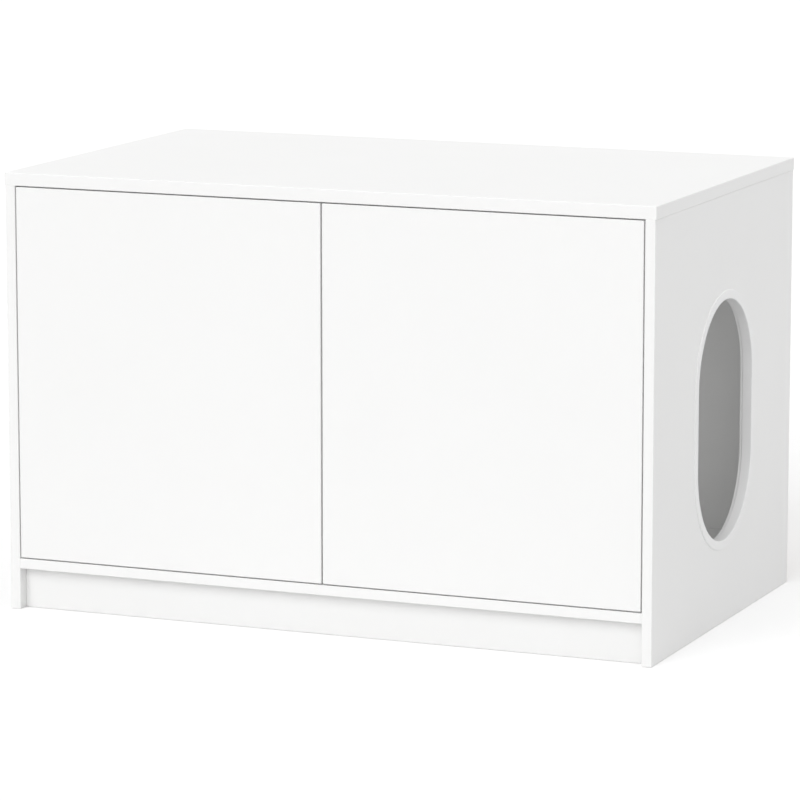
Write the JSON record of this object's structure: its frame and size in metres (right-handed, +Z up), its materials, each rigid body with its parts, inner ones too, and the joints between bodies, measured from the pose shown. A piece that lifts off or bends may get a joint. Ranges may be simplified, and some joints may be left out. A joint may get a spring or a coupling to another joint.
{
  "type": "cat litter box cabinet",
  "caption": "White board cabinet that hides a litter tray, with flush push-to-open doors on concealed hinges and a rounded side entry lined by a ring.",
  "frame": {"origin": "on the floor under the middle of the cabinet", "axes": "+X to the cabinet's right side, which has the entry opening; +Y to the back; +Z up; the doors face -Y"},
  "size_m": [0.8024, 0.494, 0.518],
  "materials": {
    "white_board": "fine satin melamine",
    "white_hardboard": "matt lacquer on the front, raw brown rear",
    "white_plastic": "satin moulded",
    "white_cap": "satin moulded",
    "housing_plastic": "satin moulded",
    "grey_plastic": "satin moulded",
    "nickel_steel": "nickel plated, stamped"
  },
  "bodies": {
    "cabinet": {"top_panel": "white_board", "bottom_panel": "white_board", "plinth_board": "white_board", "left_side_panel": "white_board", "right_side_panel": "white_board", "back_panel": "white_hardboard", "cam_covers": "white_cap", "entry_ring": "white_plastic", "entry_ring_inner": "white_plastic", "left_latch_housing": "housing_plastic", "left_lower_hinge_plate": "nickel_steel", "left_lower_hinge_arm": "nickel_steel", "left_upper_hinge_plate": "nickel_steel", "left_upper_hinge_arm": "nickel_steel", "right_latch_housing": "housing_plastic", "right_lower_hinge_plate": "nickel_steel", "right_lower_hinge_arm": "nickel_steel", "right_upper_hinge_plate": "nickel_steel", "right_upper_hinge_arm": "nickel_steel"},
    "left_door": {"left_door": "white_board", "left_strike_plate": "nickel_steel", "left_lower_hinge_cup": "nickel_steel", "left_upper_hinge_cup": "nickel_steel"},
    "left_outer_links": {"left_lower_outer_link": "nickel_steel", "left_upper_outer_link": "nickel_steel"},
    "left_inner_links": {"left_lower_inner_link": "nickel_steel", "left_upper_inner_link": "nickel_steel"},
    "left_plunger": {"left_plunger": "grey_plastic"},
    "right_door": {"right_door": "white_board", "right_strike_plate": "nickel_steel", "right_lower_hinge_cup": "nickel_steel", "right_upper_hinge_cup": "nickel_steel"},
    "right_outer_links": {"right_lower_outer_link": "nickel_steel", "right_upper_outer_link": "nickel_steel"},
    "right_inner_links": {"right_lower_inner_link": "nickel_steel", "right_upper_inner_link": "nickel_steel"},
    "right_plunger": {"right_plunger": "grey_plastic"}
  },
  "joints": [
    {"name": "left_outer_link_swing", "type": "hinge", "parent": "cabinet", "child": "left_outer_links", "pos_m": [-0.37533, -0.22039, 0.282], "axis": [0, 0, 1], "range_deg": [0, 15.1]},
    {"name": "left_door_swing", "type": "hinge", "parent": "left_outer_links", "child": "left_door", "pos_m": [-0.37819, -0.23859, 0.282], "axis": [0, 0, -1], "range_deg": [0, 105.01]},
    {"name": "left_inner_link_swing", "type": "hinge", "parent": "cabinet", "child": "left_inner_links", "pos_m": [-0.35455, -0.23587, 0.282], "axis": [0, 0, 1], "range_deg": [0, 20.8]},
    {"name": "left_plunger_slide", "type": "slide", "parent": "cabinet", "child": "left_plunger", "axis": [0, -1, 0], "range_m": [0, 0.0101]},
    {"name": "right_outer_link_swing", "type": "hinge", "parent": "cabinet", "child": "right_outer_links", "pos_m": [0.37533, -0.22039, 0.282], "axis": [0, 0, -1], "range_deg": [0, 15.1]},
    {"name": "right_door_swing", "type": "hinge", "parent": "right_outer_links", "child": "right_door", "pos_m": [0.37819, -0.23859, 0.282], "axis": [0, 0, 1], "range_deg": [0, 105.01]},
    {"name": "right_inner_link_swing", "type": "hinge", "parent": "cabinet", "child": "right_inner_links", "pos_m": [0.35455, -0.23587, 0.282], "axis": [0, 0, -1], "range_deg": [0, 20.8]},
    {"name": "right_plunger_slide", "type": "slide", "parent": "cabinet", "child": "right_plunger", "axis": [0, -1, 0], "range_m": [0, 0.0101]}
  ],
  "couplings": [
    {"joint": "left_outer_link_swing", "follows": "left_door_swing", "ratio": 0.14297},
    {"joint": "left_inner_link_swing", "follows": "left_door_swing", "ratio": 0.19679},
    {"joint": "left_plunger_slide", "follows": "left_door_swing", "m_per_rad": 0.005456},
    {"joint": "right_outer_link_swing", "follows": "right_door_swing", "ratio": 0.14297},
    {"joint": "right_inner_link_swing", "follows": "right_door_swing", "ratio": 0.19679},
    {"joint": "right_plunger_slide", "follows": "right_door_swing", "m_per_rad": 0.005456}
  ]
}
